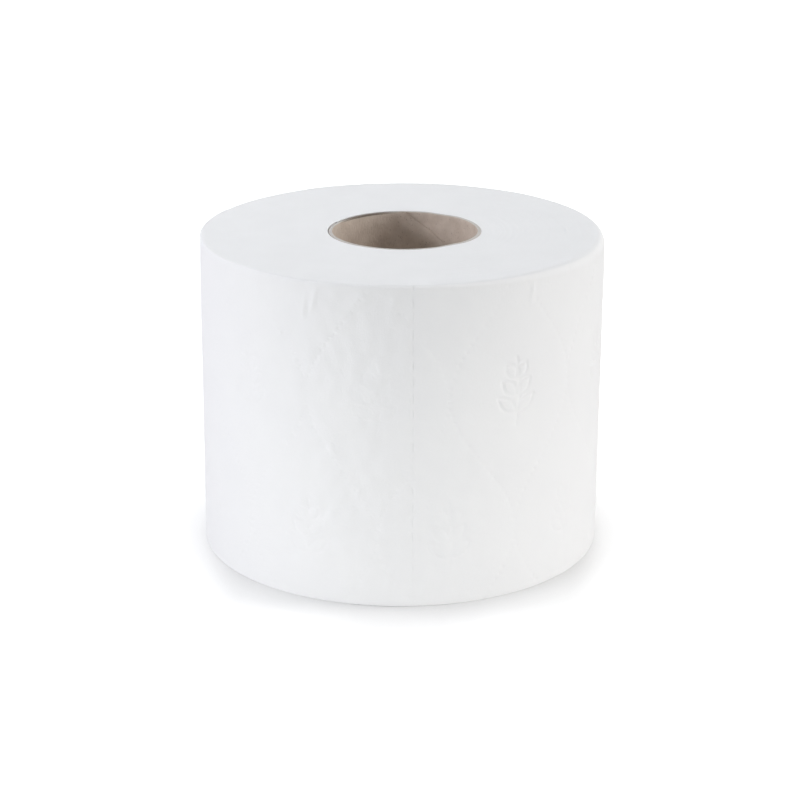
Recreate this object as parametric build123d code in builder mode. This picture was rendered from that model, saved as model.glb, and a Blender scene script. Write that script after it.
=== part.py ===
from build123d import *
import os
from math import asin, degrees, pi, tan

# A toilet paper roll that stands on its end, as on a shelf.
# A web of thin tissue is wound on a cardboard tube. Rolls are sawn from a long log, so the
# end faces are flat, the tube is flush with them and the edges of the turns show.
# +Z runs up the tube's axis, the origin is the centre of the lower end face, and -Y is the
# side that faces the viewer.

# Wound tissue, in millimetres
roll_diameter = 122.0
web_width = 96.6
sheet_length = 125.0
turn_thickness = 0.35

# Perforations that part one sheet from the next, and where the one in front lies, in degrees
front_perforation_angle = -87.0
perforation_cut = 4.0
perforation_tie = 0.7
perforation_slit = 0.3

# Gaps between turns on the end faces. A gap opens only after several tight turns.
turns_per_gap = 14
gap_depth = 0.25

# Cardboard tube, wound on a slant from strips whose seam shows in the bore
tube_bore = 44.0
tube_wall = 1.0
tube_clearance = 0.2
strip_width = 77.0
seam_top_angle = 90.0
seam_width = 0.6
seam_depth = 0.12

roll_radius = roll_diameter / 2
bore_radius = tube_bore / 2
tube_radius = bore_radius + tube_wall
paper_bore_radius = tube_radius + tube_clearance

# The tail, the web's free edge, lies one sheet behind the perforation in front.
tail_angle = front_perforation_angle - degrees(sheet_length / roll_radius)
winding_plane = Plane.XY.rotated((0, 0, tail_angle))


def spiral(start_radius, pitch, half_turns):
    """Half circles that wind inwards from the tail, each tangent to the one before it."""
    for half_turn in range(half_turns):
        side = 1 - 2 * (half_turn % 2)
        centre = (side * pitch / 4, 0)
        radius = start_radius - half_turn * pitch / 2
        CenterArc(centre, radius, 180 * (half_turn % 2), 180)


with BuildPart() as wound_paper:
    # The web, wound solid. The outermost turn ends one thickness inside its own start, and the
    # step there is the edge of the tail.
    with BuildSketch(winding_plane):
        with BuildLine() as outline:
            spiral(roll_radius, turn_thickness, 2)
            Line(outline.line @ 1, outline.line @ 0)
        make_face()
        Circle(paper_bore_radius, mode=Mode.SUBTRACT)
    extrude(amount=web_width)

    # Gaps between turns, as one groove that spirals towards the tube on each end face
    gap_spacing = turns_per_gap * turn_thickness
    gap_half_turns = int(2 * (roll_radius - paper_bore_radius) / gap_spacing) - 3
    for face_height in (0, web_width):
        with BuildLine(winding_plane.offset(face_height)) as gap:
            spiral(roll_radius - gap_spacing, gap_spacing, gap_half_turns)
        with BuildSketch(Plane(gap.line @ 0, x_dir=(0, 0, 1), z_dir=gap.line % 0)):
            RegularPolygon(gap_depth, 4)
        sweep(mode=Mode.SUBTRACT)

    # Perforations: rows of slits through the outermost turn, one sheet apart from the tail on
    with BuildLine(winding_plane.offset(web_width / 2), mode=Mode.PRIVATE) as surface:
        spiral(roll_radius, turn_thickness, 2)
    outermost_turn = surface.wires()[0]
    perforation_pitch = perforation_cut + perforation_tie
    slits = int((web_width + perforation_tie) / perforation_pitch)
    for row in range(1, int(outermost_turn.length / sheet_length) + 1):
        along = row * sheet_length / outermost_turn.length
        outward = (outermost_turn % along).cross(Vector(0, 0, 1))
        with BuildSketch(Plane(outermost_turn @ along, x_dir=outermost_turn % along, z_dir=outward)):
            with GridLocations(0, perforation_pitch, 1, slits):
                Rectangle(perforation_slit, perforation_cut)
        extrude(amount=-turn_thickness, mode=Mode.SUBTRACT)
wound_paper.part.label = "wound_paper"


with BuildPart() as core_tube:
    with BuildSketch():
        Circle(tube_radius)
        Circle(bore_radius, mode=Mode.SUBTRACT)
    extrude(amount=web_width)

    # The seam climbs by one lead a turn. It runs past both ends, so that it cuts through them.
    seam_slant = asin(strip_width / (pi * tube_bore))
    lead = pi * tube_bore * tan(seam_slant)
    overrun = seam_width
    seam_low_angle = seam_top_angle - 360 * (web_width + overrun) / lead
    with BuildLine() as seam:
        climb = Helix(lead, web_width + 2 * overrun, bore_radius, (0, 0, -overrun), mode=Mode.PRIVATE)
        add(climb, rotation=seam_low_angle)
    outward = Vector(1, 0, 0).rotate(Axis.Z, seam_low_angle)
    with BuildSketch(Plane(seam.line @ 0, x_dir=outward, z_dir=seam.line % 0)):
        Rectangle(2 * seam_depth, seam_width)
    sweep(is_frenet=True, mode=Mode.SUBTRACT)
core_tube.part.label = "core_tube"


os.makedirs("parts", exist_ok=True)
export_step(wound_paper.part, "parts/wound_paper.step")
export_step(core_tube.part, "parts/core_tube.step")
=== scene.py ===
from math import asin, atan2, cos, exp, hypot, pi, radians, sin, tan

import bmesh
import bpy
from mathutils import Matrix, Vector, kdtree, noise


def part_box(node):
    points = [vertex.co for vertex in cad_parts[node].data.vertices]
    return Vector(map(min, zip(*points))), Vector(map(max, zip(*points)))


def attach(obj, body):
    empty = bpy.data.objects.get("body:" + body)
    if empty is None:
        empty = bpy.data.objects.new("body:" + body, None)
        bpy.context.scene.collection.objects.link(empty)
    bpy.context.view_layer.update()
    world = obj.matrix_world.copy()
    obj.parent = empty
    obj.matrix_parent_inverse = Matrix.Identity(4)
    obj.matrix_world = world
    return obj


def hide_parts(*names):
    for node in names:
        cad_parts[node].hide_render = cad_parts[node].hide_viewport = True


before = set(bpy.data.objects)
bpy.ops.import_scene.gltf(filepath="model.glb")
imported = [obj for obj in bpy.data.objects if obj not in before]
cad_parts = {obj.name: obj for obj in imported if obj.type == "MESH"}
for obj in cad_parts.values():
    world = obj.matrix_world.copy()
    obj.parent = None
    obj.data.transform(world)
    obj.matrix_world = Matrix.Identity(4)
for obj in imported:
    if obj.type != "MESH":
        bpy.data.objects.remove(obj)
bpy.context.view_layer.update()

# The cardboard tube: two strips of grey-brown recycled board, wound on a slant round a rod, one
# over the other, and glued. The inner strip's edges meet in a seam that climbs the bore. The tube
# is sawn off together with the paper, so its ends are flat and a little lighter than its walls.
_, tube_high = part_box("core_tube")
web_height = tube_high.z
tube_radius = tube_high.x
ply_thickness = 0.00049
glue_line = 0.00002
bore_radius = tube_radius - 2 * ply_thickness - glue_line
strip_width = 0.077
seam_top_angle = radians(90)
tube_columns = 192
tube_rows = 64
cut_edge_rounding = 0.00005
# The top of the tube is pressed out of round, as deep down as this: lobes as number, size and
# phase, and flat spots as middle and half width. At the back it is bent off the paper.
dent_depth = 0.030
lobes = ((3, 0.00012, 0.7), (5, 0.00008, 2.1))
flat_spots = ((radians(58), radians(13)), (radians(-52), radians(11)))
bent_side = radians(126)
bent_reach = radians(30)
bent_inwards = 0.00075
# Painted shade: within these angles of the bend and this far below the top, the board is painted
# dark for the shadowed gap under the paper's edge at the back.
painted_shade_edges = (radians(18), radians(38))
painted_shade_depths = (0.00025, 0.00060)


def begin():
    """Leaves nothing selected, so that the next operator acts on the new piece alone."""
    bpy.ops.object.select_all(action="DESELECT")


def select_edges(piece, wanted):
    """Selects the edges of the piece in edit mode that pass the test, and no others."""
    bpy.ops.mesh.select_all(action="DESELECT")
    bpy.ops.mesh.select_mode(type="EDGE")
    mesh = bmesh.from_edit_mesh(piece.data)
    for edge in mesh.edges:
        edge.select_set(wanted(edge))
    bmesh.update_edit_mesh(piece.data)


def apply_modifier(piece, kind, **settings):
    """Adds a modifier with these settings to the piece and applies it."""
    modifier = piece.modifiers.new(kind.lower(), kind)
    for name, value in settings.items():
        setattr(modifier, name, value)
    bpy.ops.object.modifier_apply(modifier=modifier.name)


def bell(distance, width):
    """1 at no distance, falling smoothly to nothing at about twice the width."""
    return exp(-(distance / width) ** 2)


def turn_between(angle, other):
    """How far apart two directions are, in radians, without regard to full turns."""
    return abs((angle - other + pi) % (2 * pi) - pi)


def flat_spot(angle, middle, half_width):
    """How far a flat spot lies inside the tube's circle. It is a chord, with a kink at each end."""
    away = turn_between(angle, middle)
    return tube_radius * (cos(half_width) / cos(away) - 1) if away < half_width else 0


def squeeze(angle, height):
    """How far the bore has been pressed out of round, in metres, outwards if positive."""
    waves = sum(size * cos(number * angle + phase) for number, size, phase in lobes)
    flats = sum(flat_spot(angle, middle, half_width) for middle, half_width in flat_spots)
    return (waves + flats) * bell(web_height - height, dent_depth)


def pull_off(angle, height):
    """How far the tube has come off the paper, inwards, where it is bent at the back."""
    around = bell(turn_between(angle, bent_side), bent_reach)
    return -bent_inwards * around * bell(web_height - height, dent_depth)


# The cut edges of the inner strip, by the column beside the seam: how far along each one lies, and
# how far out
seam_profile = {
    -1: (-0.00028, -0.00005),
    0: (-0.00020, 0.00014),
    1: (0.00020, 0.00014),
    2: (0.00028, 0.0),
}
slant = asin(strip_width / (2 * pi * bore_radius))
seam_lead = 2 * pi * bore_radius * tan(slant)
column_angle = 2 * pi / tube_columns
plies = []
for name, inside in (("inner_ply", bore_radius), ("outer_ply", tube_radius - ply_thickness)):
    begin()
    bpy.ops.mesh.primitive_cylinder_add(
        vertices=tube_columns, radius=inside, depth=web_height,
        end_fill_type="NOTHING", location=(0, 0, web_height / 2))
    ply = bpy.context.object
    ply.name = name
    bpy.ops.object.transform_apply(location=True, rotation=True, scale=True)
    bpy.ops.object.mode_set(mode="EDIT")
    select_edges(ply, lambda edge: abs(edge.verts[0].co.z - edge.verts[1].co.z) > web_height / 2)
    bpy.ops.mesh.subdivide(number_cuts=tube_rows - 1)
    bpy.ops.object.mode_set(mode="OBJECT")
    for vertex in ply.data.vertices:
        # Every column of faces turns along the slant, and those at column 0 are the seam.
        angle = atan2(vertex.co.y, vertex.co.x)
        radius = inside
        column = round(angle / column_angle)
        if name == "inner_ply" and column in seam_profile:
            along, outwards = seam_profile[column]
            angle = along / bore_radius
            radius += outwards
        angle += seam_top_angle - 2 * pi * (web_height - vertex.co.z) / seam_lead
        vertex.co.x = radius * cos(angle)
        vertex.co.y = radius * sin(angle)
    apply_modifier(ply, "SOLIDIFY", thickness=ply_thickness, offset=1)
    apply_modifier(ply, "BEVEL", width=cut_edge_rounding, segments=2, limit_method="ANGLE",
                   angle_limit=radians(60))
    for vertex in ply.data.vertices:
        # The saw leaves the ends flat, also at the seam, whose edges turn a little up and down.
        vertex.co.z = min(web_height, max(0, vertex.co.z))
        angle = atan2(vertex.co.y, vertex.co.x)
        moved = squeeze(angle, vertex.co.z) + pull_off(angle, vertex.co.z)
        vertex.co.x += moved * cos(angle)
        vertex.co.y += moved * sin(angle)
    bpy.ops.object.shade_smooth_by_angle(angle=radians(40))
    plies.append(ply)


def paint(red, green, blue):
    """A colour as it shows on a screen, 0 to 255, made the linear colour that a shader takes."""
    linear = []
    for part in (red, green, blue):
        share = part / 255
        linear.append(share / 12.92 if share <= 0.04045 else ((share + 0.055) / 1.055) ** 2.4)
    return (*linear, 1)


class Nodes:
    """A node tree and short ways to add to it."""

    def __init__(self, tree):
        self.tree = tree

    def fill(self, socket, value):
        """Links another node's output to the socket, or else sets the socket's own value."""
        if isinstance(value, bpy.types.NodeSocket):
            self.tree.links.new(value, socket)
        else:
            socket.default_value = value

    def node(self, kind, inputs=(), **settings):
        made = self.tree.nodes.new("ShaderNode" + kind)
        for name, value in settings.items():
            setattr(made, name, value)
        for name, value in dict(inputs).items():
            self.fill(made.inputs[name], value)
        return made

    def math(self, operation, first, second=0.0, third=0.0):
        return self.node("Math", {0: first, 1: second, 2: third}, operation=operation).outputs[0]

    def seen_directly(self):
        """1 for the rays that show a surface itself, or its mirror image, and 0 for its light."""
        rays = self.node("LightPath").outputs
        seen = self.math("MAXIMUM", rays["Is Camera Ray"], rays["Is Glossy Ray"])
        return self.math("MAXIMUM", seen, rays["Is Transmission Ray"])


class Finish(Nodes):
    """A material and its nodes."""

    def __init__(self, name, roughness, specular):
        self.material = bpy.data.materials.new(name)
        self.material.use_nodes = True
        super().__init__(self.material.node_tree)
        self.shader = self.tree.nodes["Principled BSDF"]
        self.shader.inputs["Roughness"].default_value = roughness
        self.shader.inputs["Specular IOR Level"].default_value = specular

    def coordinates(self, output, scale):
        """Object or UV coordinates, stretched by a scale for each axis."""
        source = self.node("TexCoord").outputs[output]
        return self.node("Mapping", {"Vector": source, "Scale": scale}).outputs["Vector"]

    def grain(self, where, scale, detail=2.0, roughness=0.5):
        """Noise from 0 to 1."""
        values = {"Vector": where, "Scale": scale, "Detail": detail, "Roughness": roughness}
        return self.node("TexNoise", values).outputs["Fac"]

    def mix(self, share, low, high):
        """A colour between two others. The node's colour sockets are told apart by number."""
        return self.node("Mix", {0: share, 6: low, 7: high}, data_type="RGBA").outputs[2]

    def band(self, value, low, high):
        """0 below low, 1 above high and a smooth step between."""
        values = {"Value": value, "From Min": low, "From Max": high}
        made = self.node("MapRange", values, interpolation_type="SMOOTHSTEP", clamp=True)
        return made.outputs["Result"]

    def colour(self, socket):
        self.fill(self.shader.inputs["Base Color"], socket)

    def relief(self, height, depth, under=None):
        """Bump whose height runs from 0 to 1 over the depth, in metres. under is a relief below."""
        values = {"Height": height, "Distance": depth, "Strength": 1.0}
        if under is not None:
            values["Normal"] = under
        normal = self.node("Bump", values).outputs["Normal"]
        self.fill(self.shader.inputs["Normal"], normal)
        return normal


board = Finish("recycled_board", roughness=0.88, specular=0.25)
board_place = board.coordinates("Object", (1, 1, 1))
patches = board.grain(board_place, 260, detail=3)
fibres = board.grain(board.coordinates("Object", (1, 1, 0.35)), 2600, detail=3, roughness=0.6)
flecks = board.band(board.grain(board_place, 1900, detail=2), 0.66, 0.72)
board_walls = board.mix(patches, paint(192, 177, 164), paint(233, 221, 209))
board_walls = board.mix(board.math("MULTIPLY", fibres, 0.35), board_walls, paint(172, 156, 143))
board_walls = board.mix(board.math("MULTIPLY", flecks, 0.5), board_walls, paint(124, 108, 96))
height = board.node("SeparateXYZ", {"Vector": board_place}).outputs["Z"]
cut_edge = board.band(height, web_height - cut_edge_rounding, web_height - 0.3 * cut_edge_rounding)
whole_board = board.mix(cut_edge, board_walls, paint(200, 196, 192))
bent_way = {0: board_place, 1: (cos(bent_side), sin(bent_side), 0)}
towards_bend = board.node("VectorMath", bent_way, operation="DOT_PRODUCT").outputs["Value"]
# Painted shade: the board's top on the bent side is darkened, standing in for the shadow under the
# paper's edge there.
most, least = (tube_radius * cos(edge) for edge in painted_shade_edges)
bent = board.band(towards_bend, least, most)
upper, lower = (web_height - depth for depth in painted_shade_depths)
painted_shade = board.math("MULTIPLY", bent, board.band(height, lower, upper))
board.colour(board.mix(painted_shade, whole_board, paint(112, 102, 93)))
board.relief(fibres, 0.00012, under=board.relief(patches, 0.00025))
for ply in plies:
    ply.data.materials.append(board.material)
    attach(ply, "root")
    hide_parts("core_tube")

# The wound web: one long strip of soft white tissue, wound round the tube turn on turn and sawn
# to its height. The mesh is one real spiral, with one ring of vertices for each turn, so each
# edge stands a hair higher or lower than the turns beside it.
roll_radius = 0.0610
web_thickness = 0.00035
sheet_length = 0.125
front_perforation_angle = radians(-87)
tube_gap = 0.00003
layer_gap = 0.00002
web_sides = 240
web_rows = 24
edge_wander = 0.00005
end_face_wave = 0.00014
wave_scale = 55
# One turn that stands proud of the upper end face over a short way at the right: its number from
# the outside, its height, middle and reach
proud_turn = 33
proud_height = 0.0003
proud_side = radians(-1)
proud_reach = radians(5)
lower_rounding = 0.0002
upper_rounding = 0.0006
slipped_rounding = 0.0022
slipped_side = radians(-14)
slipped_reach = radians(50)
squeeze_reach = 0.006
lean_low = -0.00120
lean_top = -0.00065
swell = 0.00025
tail_angle = front_perforation_angle - sheet_length / roll_radius
paper_bore_radius = tube_radius + tube_gap
web_radius = roll_radius - 0.75 * web_thickness + 1.5 * layer_gap
inner_turns = int((web_radius - paper_bore_radius) / web_thickness)


def outer_radius(wound):
    """The radius of the roll's surface, this far round from the tail, in radians."""
    return roll_radius + web_thickness * (0.25 - wound / (2 * pi))


def soften(radius, height, angle, wound):
    """Rounds the roll's outer edges. At the right the turns have slipped, so it is softer there."""
    upper = height > web_height / 2
    corner = lower_rounding
    if upper:
        slipped = bell(turn_between(angle, slipped_side), slipped_reach)
        corner = upper_rounding + slipped_rounding * slipped
    from_end = web_height - height if upper else height
    out = min(1, max(0, 1 - (outer_radius(wound) - radius) / corner))
    near = min(1, max(0, 1 - from_end / corner))
    from_end += corner * near * (1 - (1 - out * out / 2) ** 0.5)
    radius -= corner * out * (1 - (1 - near * near / 2) ** 0.5)
    return radius, web_height - from_end if upper else from_end


def lean(point, share=1.0):
    """The roll leans and swells a touch, as soft rolls do: its turns slide sideways on the tube.

    The swell fades out over the top third.
    """
    up = point.z / web_height
    stretch = 1 + share * swell / roll_radius * min(1, 3 * (1 - up))
    point.x = stretch * point.x + share * (lean_low * (1 - up) + lean_top * up)
    point.y *= stretch


def end_relief(x, y, angle, turn):
    """How far the sawn end face stands out at a point, from its level, in metres."""
    wave = end_face_wave * noise.noise(Vector((x, y, 0)) * wave_scale)
    wander = edge_wander * noise.noise(Vector((turn * 0.83, 3.7, 0)))
    proud = proud_height * bell(turn - proud_turn, 0.8)
    return wave + wander + proud * bell(turn_between(angle, proud_side), proud_reach)


begin()
section_width = inner_turns * web_thickness
section_middle = web_radius - section_width / 2
bpy.ops.mesh.primitive_plane_add(
    size=1, location=(section_middle, 0, web_height / 2), rotation=(pi / 2, 0, 0))
web = bpy.context.object
web.name = "wound_web"
web.scale = (section_width, web_height, 1)
bpy.ops.object.transform_apply(location=True, rotation=True, scale=True)
bpy.ops.object.mode_set(mode="EDIT")
bpy.ops.mesh.delete(type="ONLY_FACE")
select_edges(web, lambda edge: abs(edge.verts[0].co.x - edge.verts[1].co.x) > section_width / 2)
bpy.ops.mesh.subdivide(number_cuts=inner_turns - 1)
select_edges(web, lambda edge: abs(edge.verts[0].co.z - edge.verts[1].co.z) > web_height / 2)
bpy.ops.mesh.subdivide(number_cuts=web_rows - 1)
bpy.ops.object.mode_set(mode="OBJECT")
section_points = len(web.data.vertices)
bpy.ops.object.mode_set(mode="EDIT")
bpy.ops.mesh.select_all(action="SELECT")
bpy.ops.mesh.spin(
    steps=web_sides, angle=2 * pi, center=(0, 0, 0), axis=(0, 0, 1), use_auto_merge=False)
bpy.ops.object.mode_set(mode="OBJECT")
for index, vertex in enumerate(web.data.vertices):
    # The first and the last section stand at the same place, so the order tells them apart.
    wound = 2 * pi * (index // section_points) / web_sides
    x, y, z = vertex.co
    radius = hypot(x, y) - web_thickness * wound / (2 * pi)
    angle = tail_angle + wound
    turn = (web_radius - radius) / web_thickness
    at_end = 1 if z > web_height - 1e-5 else -1 if z < 1e-5 else 0
    radius, z = soften(radius, z, angle, wound)
    if at_end:
        z = max(0, z + at_end * end_relief(radius * cos(angle), radius * sin(angle), angle, turn))
    from_bore = radius - paper_bore_radius
    radius += squeeze(angle, z) * exp(-from_bore / squeeze_reach)
    vertex.co = (radius * cos(angle), radius * sin(angle), z)
    lean(vertex.co, share=min(1, from_bore / section_width))
bpy.ops.object.mode_set(mode="EDIT")
bpy.ops.mesh.select_all(action="SELECT")
bpy.ops.mesh.remove_doubles(threshold=1e-6)
bpy.ops.mesh.normals_make_consistent(inside=False)
bpy.ops.object.mode_set(mode="OBJECT")
bpy.ops.object.shade_smooth_by_angle(angle=radians(40))


def soft_tissue(name):
    """The finish of all the tissue: matt, nearly white, with a trace of blue."""
    return Finish(name, roughness=0.95, specular=0.15)


sawn = soft_tissue("sawn_tissue_edges")
place = sawn.coordinates("Object", (1, 1, 1))
parts = sawn.node("SeparateXYZ", {"Vector": place}).outputs
x_squared = sawn.math("MULTIPLY", parts["X"], parts["X"])
radius_squared = sawn.math("MULTIPLY_ADD", parts["Y"], parts["Y"], x_squared)
turns_out = sawn.math("DIVIDE", sawn.math("SQRT", radius_squared), web_thickness)
part_turn = sawn.math("DIVIDE", sawn.math("ARCTAN2", parts["Y"], parts["X"]), 2 * pi)
turn_edge = sawn.math("PINGPONG", sawn.math("ADD", turns_out, part_turn), 0.5)
fuzz = sawn.grain(place, 5200, detail=2)
cloud = sawn.grain(place, 90, detail=3)
sawn_colour = sawn.mix(cloud, paint(241, 242, 243), paint(246, 247, 248))
sawn.colour(sawn.mix(sawn.math("MULTIPLY", fuzz, 0.25), sawn_colour, paint(226, 227, 228)))
sawn.relief(fuzz, 0.00004, under=sawn.relief(turn_edge, 0.00006))
web.data.materials.append(sawn.material)
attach(web, "root")
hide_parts("wound_paper")

# The outermost turn: three whole sheets and the start of a fourth, still joined at their
# perforations. They are embossed flat, with a common lattice of dotted lines and a plain sprig
# in each of its cells, and then wound on. The first one's free edge is the tail.
sheet_thickness = web_thickness - layer_gap
grid_step = 0.0010
dot_spacing = 0.0022
dot_size = 0.00042
stroke_size = 0.00042
emboss_depth = 0.00028
deepest_mark = 0.00030
cells_per_sheet = 3
cell_height = 0.084
lattice_phase = 0.021
perforation_cut = 0.0040
perforation_tie = 0.0007
perforation_phase = 0.0041
slit_half_width = 0.000024
cut_dimple = 0.00008
cut_dimple_reach = 0.0004
low_gaping = 0.80
more_gaping = 0.32
gaping_from = 0.050
gaping_over = 0.030
gaping_change = 0.8
least_gaping = 0.1
web_twist = radians(0.5)
crinkle = 0.00040
crumple_fineness = 22
slackness = 0.00014
tail_lift = 0.00015
tail_lift_reach = 0.0022
held_at_ends = 0.004
# The grid is finer within these distances of a mark, a cut and an end, and where creases rise
fine_cuts = 2
fine_by_mark = 0.0011
fine_by_cut = 0.0012
fine_by_end = 0.0030
fine_from_rise = 0.00002
# How crisp the emboss is on the whole, how much that varies from patch to patch and from dot to
# dot, and how many of each there are to a metre
even_crispness = 0.27
patch_change = 0.34
patch_fineness = 24
dot_change = 0.7
dot_fineness = 330
# Where it is crisper or flatter: along the web, height, reach and by how much
crisp_spots = (
    (0.154, 0.068, 0.020, 0.65),
    (0.098, 0.082, 0.020, 0.30),
    (0.165, 0.045, 0.016, 0.30),
    (0.1145, 0.065, 0.014, -0.25),
)
# Creases that handling left, from one place on the flat web to another, with rise and half width
creases = (
    ((0.0985, 0.0225), (0.1015, 0.0290), 0.00024, 0.0012),
    ((0.1025, 0.0300), (0.1085, 0.0295), 0.00022, 0.0011),
    ((0.1015, 0.0245), (0.1065, 0.0250), 0.00018, 0.0015),
    ((0.0998, 0.0500), (0.1030, 0.0450), 0.00016, 0.0012),
    ((0.0975, 0.0955), (0.0955, 0.0860), 0.00024, 0.0009),
    ((0.0940, 0.0945), (0.0930, 0.0850), 0.00016, 0.0008),
    ((0.1620, 0.0950), (0.1610, 0.0880), 0.00020, 0.0008),
    ((0.1270, 0.0030), (0.1300, 0.0110), 0.00016, 0.0010),
    ((0.1175, 0.0060), (0.1190, 0.0120), 0.00016, 0.0009),
)
cell_width = sheet_length / cells_per_sheet
# A sprig: its stem, and its leaves from the lowest pair up
stem_length = 0.020
stem_bow = 0.0012
leaf_pairs = 3
lowest_leaf = -0.0065
leaf_spacing = 0.0052
leaf_length = 0.0078
leaf_shrink = 0.0012
leaf_belly = 0.0017
leaf_rise = 38
leaf_steepening = 6
sprig_steps = 26


def lattice_line(number, height):
    """Where a lattice line lies along the web at a height. Neighbours sway in opposite ways."""
    sway = cell_width / 4 * cos(2 * pi * (height - lattice_phase) / cell_height)
    return cell_width / 2 * number + (sway if number % 2 else -sway)


def sprig(centre, middle):
    """Points of a plain sprig of pointed leaves on a curved stem."""
    points = []
    for step in range(sprig_steps + 1):
        share = step / sprig_steps
        points.append((centre + stem_bow * sin(pi * share), middle + stem_length * (share - 0.5)))
    for pair in range(leaf_pairs):
        root = middle + (lowest_leaf + leaf_spacing * pair)
        for side in (-1, 1):
            length = leaf_length - leaf_shrink * pair
            rise = radians(leaf_rise + leaf_steepening * pair)
            for step in range(2 * sprig_steps):
                # Out along one edge of the leaf, and back along the other
                share = step / sprig_steps
                along = length * (share if share <= 1 else 2 - share)
                belly = leaf_belly * sin(pi * along / length) * (1 if share <= 1 else -1)
                points.append((centre + side * (along * cos(rise) - belly * sin(rise)),
                               root + along * sin(rise) + belly * cos(rise)))
    return points


def pressed_marks(start, length):
    """Places on a stretch of web where the rolls press it: (along, height, size of the mark)."""
    marks = []
    first = int(start / (cell_width / 2)) - 2
    last = int((start + length) / (cell_width / 2)) + 3
    for number in range(first, last):
        height = 0.0004
        while height < web_height:
            marks.append((lattice_line(number, height) - start, height, dot_size))
            slope = (lattice_line(number, height + 1e-5) - lattice_line(number, height)) / 1e-5
            height += dot_spacing / hypot(1, slope)
        shift = 0.5 if number % 2 else 0
        for row in range(-1, 3):
            middle = lattice_phase + cell_height * (row + shift)
            centre = cell_width / 2 * (number + 0.5) - start
            if -stem_length < middle < web_height + stem_length:
                marks.extend((x, y, stroke_size) for x, y in sprig(centre, middle))
    return marks


def in_slit(height):
    """How open the perforation is at a height: most halfway up a cut, 0 at a tie.

    It gapes more near the top, and unevenly.
    """
    place = (height + perforation_phase) % (perforation_cut + perforation_tie)
    gaping = low_gaping + more_gaping * min(1, max(0, (height - gaping_from) / gaping_over))
    gaping = max(least_gaping, gaping + gaping_change * noise.noise(Vector((height * 110, 6.1, 0))))
    return gaping * sin(pi * min(1, place / perforation_cut))


def creased(along, height):
    """How far the creases raise the sheet at a place on the flat web."""
    raised = 0
    for (start, low), (end, high), rise, half_width in creases:
        share = (along - start) * (end - start) + (height - low) * (high - low)
        share = min(1, max(0, share / ((end - start) ** 2 + (high - low) ** 2)))
        distance = hypot(along - start - share * (end - start), height - low - share * (high - low))
        raised += rise * (1 - 0.7 * (2 * share - 1) ** 2) * bell(distance, half_width)
    return raised


def uneven(x, y, fineness, part):
    """Noise from about -1 to 1, this many waves to a metre. part picks another layer of it."""
    return noise.noise(Vector((x * fineness, y * fineness, part)))


def wind_on(along, height, raised):
    """Where a point of the flat web lies in the roll. raised is its height over the web's face."""
    wound = along / roll_radius
    angle = tail_angle + wound - web_twist * (height / web_height - 0.5)
    loose = slackness * noise.noise(Vector((2.3 * cos(angle), 2.3 * sin(angle), height * 30)))
    patch = max(0, uneven(along, height, crumple_fineness, 5.5) + 0.25)
    loose += crinkle * patch * noise.noise(Vector((along * 280, height * 230, 2.2)))
    loose += creased(along, height)
    lift = tail_lift * bell(along, tail_lift_reach)
    lift *= 1 + noise.noise(Vector((0, 4.1, height * 60)))
    near_end = min(1, min(height, web_height - height) / held_at_ends)
    inside = max(0, -raised)
    radius, height = soften(outer_radius(wound) - inside, height, angle, wound)
    radius += raised + inside + (loose + lift) * near_end
    if height > web_height / 2:
        height += (1 - near_end) * end_relief(radius * cos(angle), radius * sin(angle), angle, -1)
    return Vector((radius * cos(angle), radius * sin(angle), height))


sheet_finish = soft_tissue("embossed_tissue")
sheet_uv = sheet_finish.coordinates("UV", (1, 1, 1))
crepe = sheet_finish.grain(sheet_finish.coordinates("UV", (2600, 520, 1)), 1, detail=2)
fluff = sheet_finish.grain(sheet_uv, 1500, detail=3)
tint = sheet_finish.grain(sheet_uv, 45, detail=2)
sheet_colour = sheet_finish.mix(tint, paint(242, 242, 243), paint(246, 246, 246))
fluffy = sheet_finish.math("MULTIPLY", fluff, 0.2)
sheet_finish.colour(sheet_finish.mix(fluffy, sheet_colour, paint(234, 234, 235)))
sheet_finish.relief(crepe, 0.00003, under=sheet_finish.relief(fluff, 0.00005))

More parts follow.
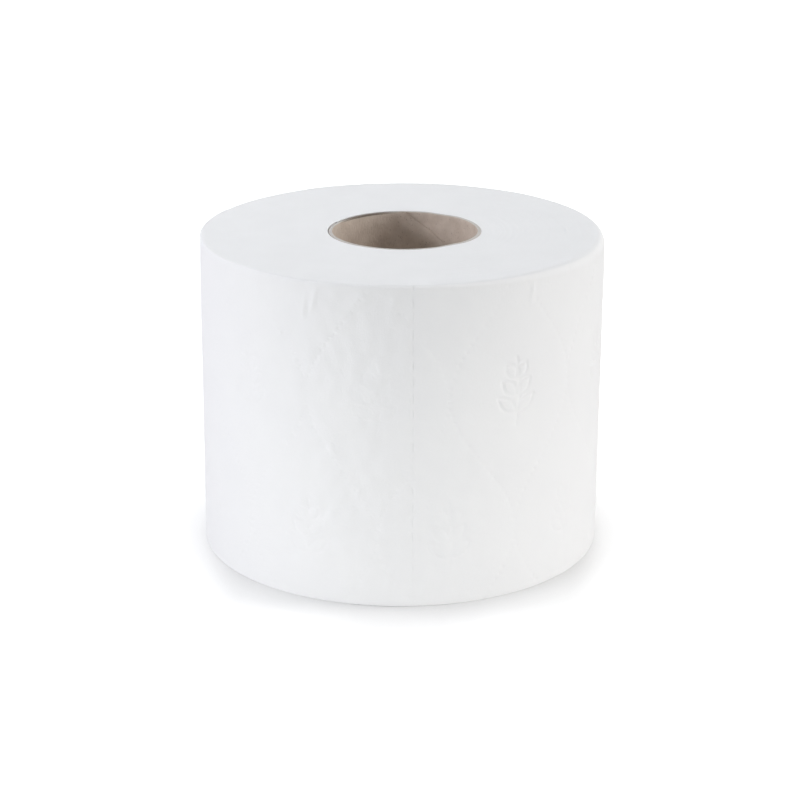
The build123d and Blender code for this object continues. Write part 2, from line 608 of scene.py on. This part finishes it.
web_start = 0.0
sheet_names = ("tail_sheet", "front_sheet", "back_sheet", "inner_sheet")
one_turn = 2 * pi * roll_radius
for name in sheet_names:
    length = min(sheet_length, one_turn - web_start)
    begin()
    bpy.ops.mesh.primitive_grid_add(
        x_subdivisions=max(2, round(length / grid_step)),
        y_subdivisions=round(web_height / grid_step),
        size=1, location=(length / 2, web_height / 2, 0))
    sheet = bpy.context.object
    sheet.name = name
    sheet.scale = (length, web_height, 1)
    bpy.ops.object.transform_apply(location=True, rotation=True, scale=True)
    marks = pressed_marks(web_start, length)
    tree = kdtree.KDTree(len(marks))
    for index, (x, y, size) in enumerate(marks):
        tree.insert((x, y, 0), index)
    tree.balance()
    bpy.ops.object.mode_set(mode="EDIT")
    bpy.ops.mesh.select_all(action="DESELECT")
    bpy.ops.mesh.select_mode(type="FACE")
    mesh = bmesh.from_edit_mesh(sheet.data)
    for face in mesh.faces:
        middle = face.calc_center_median()
        near_mark = tree.find(middle)[2] < fine_by_mark
        near_cut = min(middle.x, length - middle.x) < fine_by_cut
        near_end = min(middle.y, web_height - middle.y) < fine_by_end
        near_crease = creased(web_start + middle.x, middle.y) > fine_from_rise
        face.select_set(near_mark or near_cut or near_end or near_crease)
    bmesh.update_edit_mesh(sheet.data)
    bpy.ops.mesh.subdivide(number_cuts=fine_cuts)
    bpy.ops.object.mode_set(mode="OBJECT")
    pressed = []
    for vertex in sheet.data.vertices:
        x, y, _ = vertex.co
        _, index, distance = tree.find((x, y, 0))
        crisp = even_crispness + patch_change * uneven(web_start + x, y, patch_fineness, 8.3)
        for along, height, reach, more in crisp_spots:
            crisp += more * bell(hypot(web_start + x - along, y - height), reach)
        crisp *= 1 + dot_change * uneven(web_start + x, y, dot_fineness, 4.4)
        mark = emboss_depth * crisp * bell(distance, marks[index][2])
        dimple = cut_dimple * in_slit(y) * bell(min(x, length - x), cut_dimple_reach)
        pressed.append(min(deepest_mark, mark + dimple))
        if x < 1e-6 and web_start > 0:
            vertex.co.x += slit_half_width * in_slit(y)
        if length - x < 1e-6 and length == sheet_length:
            vertex.co.x -= slit_half_width * in_slit(y)
    apply_modifier(sheet, "SOLIDIFY", thickness=sheet_thickness, offset=-1)
    flat_uv = sheet.data.uv_layers.active.data
    for loop in sheet.data.loops:
        flat = sheet.data.vertices[loop.vertex_index].co
        flat_uv[loop.index].uv = (web_start + flat.x, flat.y)
    for index, vertex in enumerate(sheet.data.vertices):
        # The modifier puts the inner face's vertices after the outer face's, in the same order.
        x, y, z = vertex.co
        vertex.co = wind_on(web_start + x, y, z)
        raise_by = -pressed[index % len(pressed)]
        angle = atan2(vertex.co.y, vertex.co.x)
        vertex.co += raise_by * Vector((cos(angle), sin(angle), 0))
        lean(vertex.co)
    bpy.ops.object.shade_smooth_by_angle(angle=radians(50))
    sheet.data.materials.append(sheet_finish.material)
    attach(sheet, "root")
    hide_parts("wound_paper")
    web_start += length

# The table and the room: a plain white surface that runs on past the picture, and a white
# surround. Only camera, glossy and transmitted rays see their full white. Near the roll the
# table is paler than further out. Its glow, which only those rays see, is a painted contact
# shadow where occlusion dims it next to the roll, and painted light in bands beside the roll.
pale_reach = 0.10
pale_end = 0.30
even_glow = 0.030
near_glow = 0.42
far_glow = 0.95
# side_glow and edge_glow are painted light: glow that only the camera sees, added in bands beside
# the roll, which makes the roll's shadow fainter there.
side_glow = 0.065
side_from, side_to = 0.008, 0.030
edge_glow = 0.14
edge_from, edge_to = 0.048, 0.064
contact_reach = 0.030
begin()
bpy.ops.mesh.primitive_plane_add(size=8, location=(0, 0, 0))
table = bpy.context.object
table.name = "table_top"
white_table = Finish("white_table", roughness=0.9, specular=0.0)
on_table = white_table.coordinates("Object", (1, 1, 0))
from_roll = white_table.node("VectorMath", {0: on_table}, operation="LENGTH").outputs["Value"]
far_out = white_table.band(from_roll, pale_reach, pale_end)
white_table.colour(white_table.mix(far_out, paint(215, 215, 215), paint(160, 161, 162)))
# Painted contact shadow: the glow that the camera sees fades where occlusion is high next to the
# roll.
occlusion = white_table.node("AmbientOcclusion", {"Distance": contact_reach}, samples=16)
open_sky = {"Value": occlusion.outputs["AO"], "From Min": 0.5}
shadow = white_table.node("MapRange", open_sky, clamp=True).outputs["Result"]
across = white_table.node("SeparateXYZ", {"Vector": on_table}).outputs["X"]
sideways = white_table.math("ABSOLUTE", across)
beside = white_table.band(sideways, side_from, side_to)
past_edge = white_table.band(sideways, edge_from, edge_to)
full_glow = white_table.math("MULTIPLY_ADD", far_out, far_glow - near_glow, near_glow)
lowest_glow = white_table.math("MULTIPLY_ADD", beside, side_glow, even_glow)
lowest_glow = white_table.math("MULTIPLY_ADD", past_edge, edge_glow, lowest_glow)
shown_glow = white_table.math("MULTIPLY_ADD", shadow, full_glow, lowest_glow)
shown_glow = white_table.math("MULTIPLY", shown_glow, white_table.seen_directly())
glow = white_table.node("Emission", {"Strength": shown_glow})
both = white_table.node("AddShader", {0: white_table.shader.outputs[0], 1: glow.outputs[0]})
white_table.fill(white_table.tree.nodes["Material Output"].inputs["Surface"], both.outputs[0])
table.data.materials.append(white_table.material)

room_strength = 0.15
room_tint = (0.985, 0.99, 1.0, 1)
world = bpy.data.worlds.new("white_room")
bpy.context.scene.world = world
world.use_nodes = True
room = Nodes(world.node_tree)
room_light = room.tree.nodes["Background"]
room_light.inputs["Color"].default_value = room_tint
room_light.inputs["Strength"].default_value = room_strength
room_seen = room.node("Background", {"Color": (1, 1, 1, 1)})
room_choice = room.node(
    "MixShader", {0: room.seen_directly(), 1: room_light.outputs[0], 2: room_seen.outputs[0]})
room.fill(room.tree.nodes["World Output"].inputs["Surface"], room_choice.outputs[0])

# Soft boxes: name, direction from the front and rise in degrees, distance, width, height, power in
# watts and colour. The cards are small and stand low in front, just out of the picture.
soft_boxes = (
    ("top_soft_box", 0, 89, 1.1, 0.90, 0.90, 5.1, (0.949, 0.978, 1.0)),
    ("left_soft_box", -90, 26, 0.45, 0.20, 0.08, 0.59, (0.963, 0.952, 1.0)),
    ("left_front_box", -60, 15, 1.1, 0.40, 0.24, 2.90, (0.95, 0.952, 1.0)),
    ("left_card", -22, -3, 0.26, 0.16, 0.05, 0.094, (0.96, 1.0, 0.982)),
    ("right_soft_box", 90, 28, 1.1, 0.40, 0.14, 3.93, (1.0, 0.952, 0.914)),
    ("right_low_box", 90, 12, 1.1, 0.40, 0.14, 1.98, (0.97, 1.0, 0.992)),
    ("right_strip", 68, 4, 0.8, 0.50, 0.16, 0.49, (0.913, 0.951, 1.0)),
    ("right_card", 22, -3, 0.26, 0.16, 0.05, 0.091, (1.0, 0.977, 0.948)),
    ("rear_box", 180, 12, 1.1, 0.60, 0.30, 4.2, (0.97, 0.98, 1.0)),
)
aim = Vector((0, 0, web_height / 2))
for name, around, up, distance, width, depth, power, colour in soft_boxes:
    begin()
    bpy.ops.object.light_add(type="AREA")
    lamp = bpy.context.object
    lamp.name = name
    lamp.data.shape = "RECTANGLE"
    lamp.data.size = width
    lamp.data.size_y = depth
    lamp.data.energy = power
    lamp.data.color = colour
    direction, rise = radians(around), radians(up)
    level = cos(rise)
    way = Vector((level * sin(direction), -level * cos(direction), sin(rise)))
    lamp.location = aim + distance * way
    lamp.rotation_euler = (aim - lamp.location).to_track_quat("-Z", "Y").to_euler()
    lamp.visible_camera = False

# The camera stands in front, a little above the roll, and looks down at it.
begin()
camera_place = (-0.00141, -0.64005, 0.26431)
camera_dip = 19.14
bpy.ops.object.camera_add(location=camera_place, rotation=(radians(90 - camera_dip), 0, 0))
camera = bpy.context.object
camera.data.sensor_width = 36
camera.data.lens = 98.26
camera.data.clip_end = 20
bpy.context.scene.camera = camera
bpy.context.scene.view_settings.view_transform = "Standard"
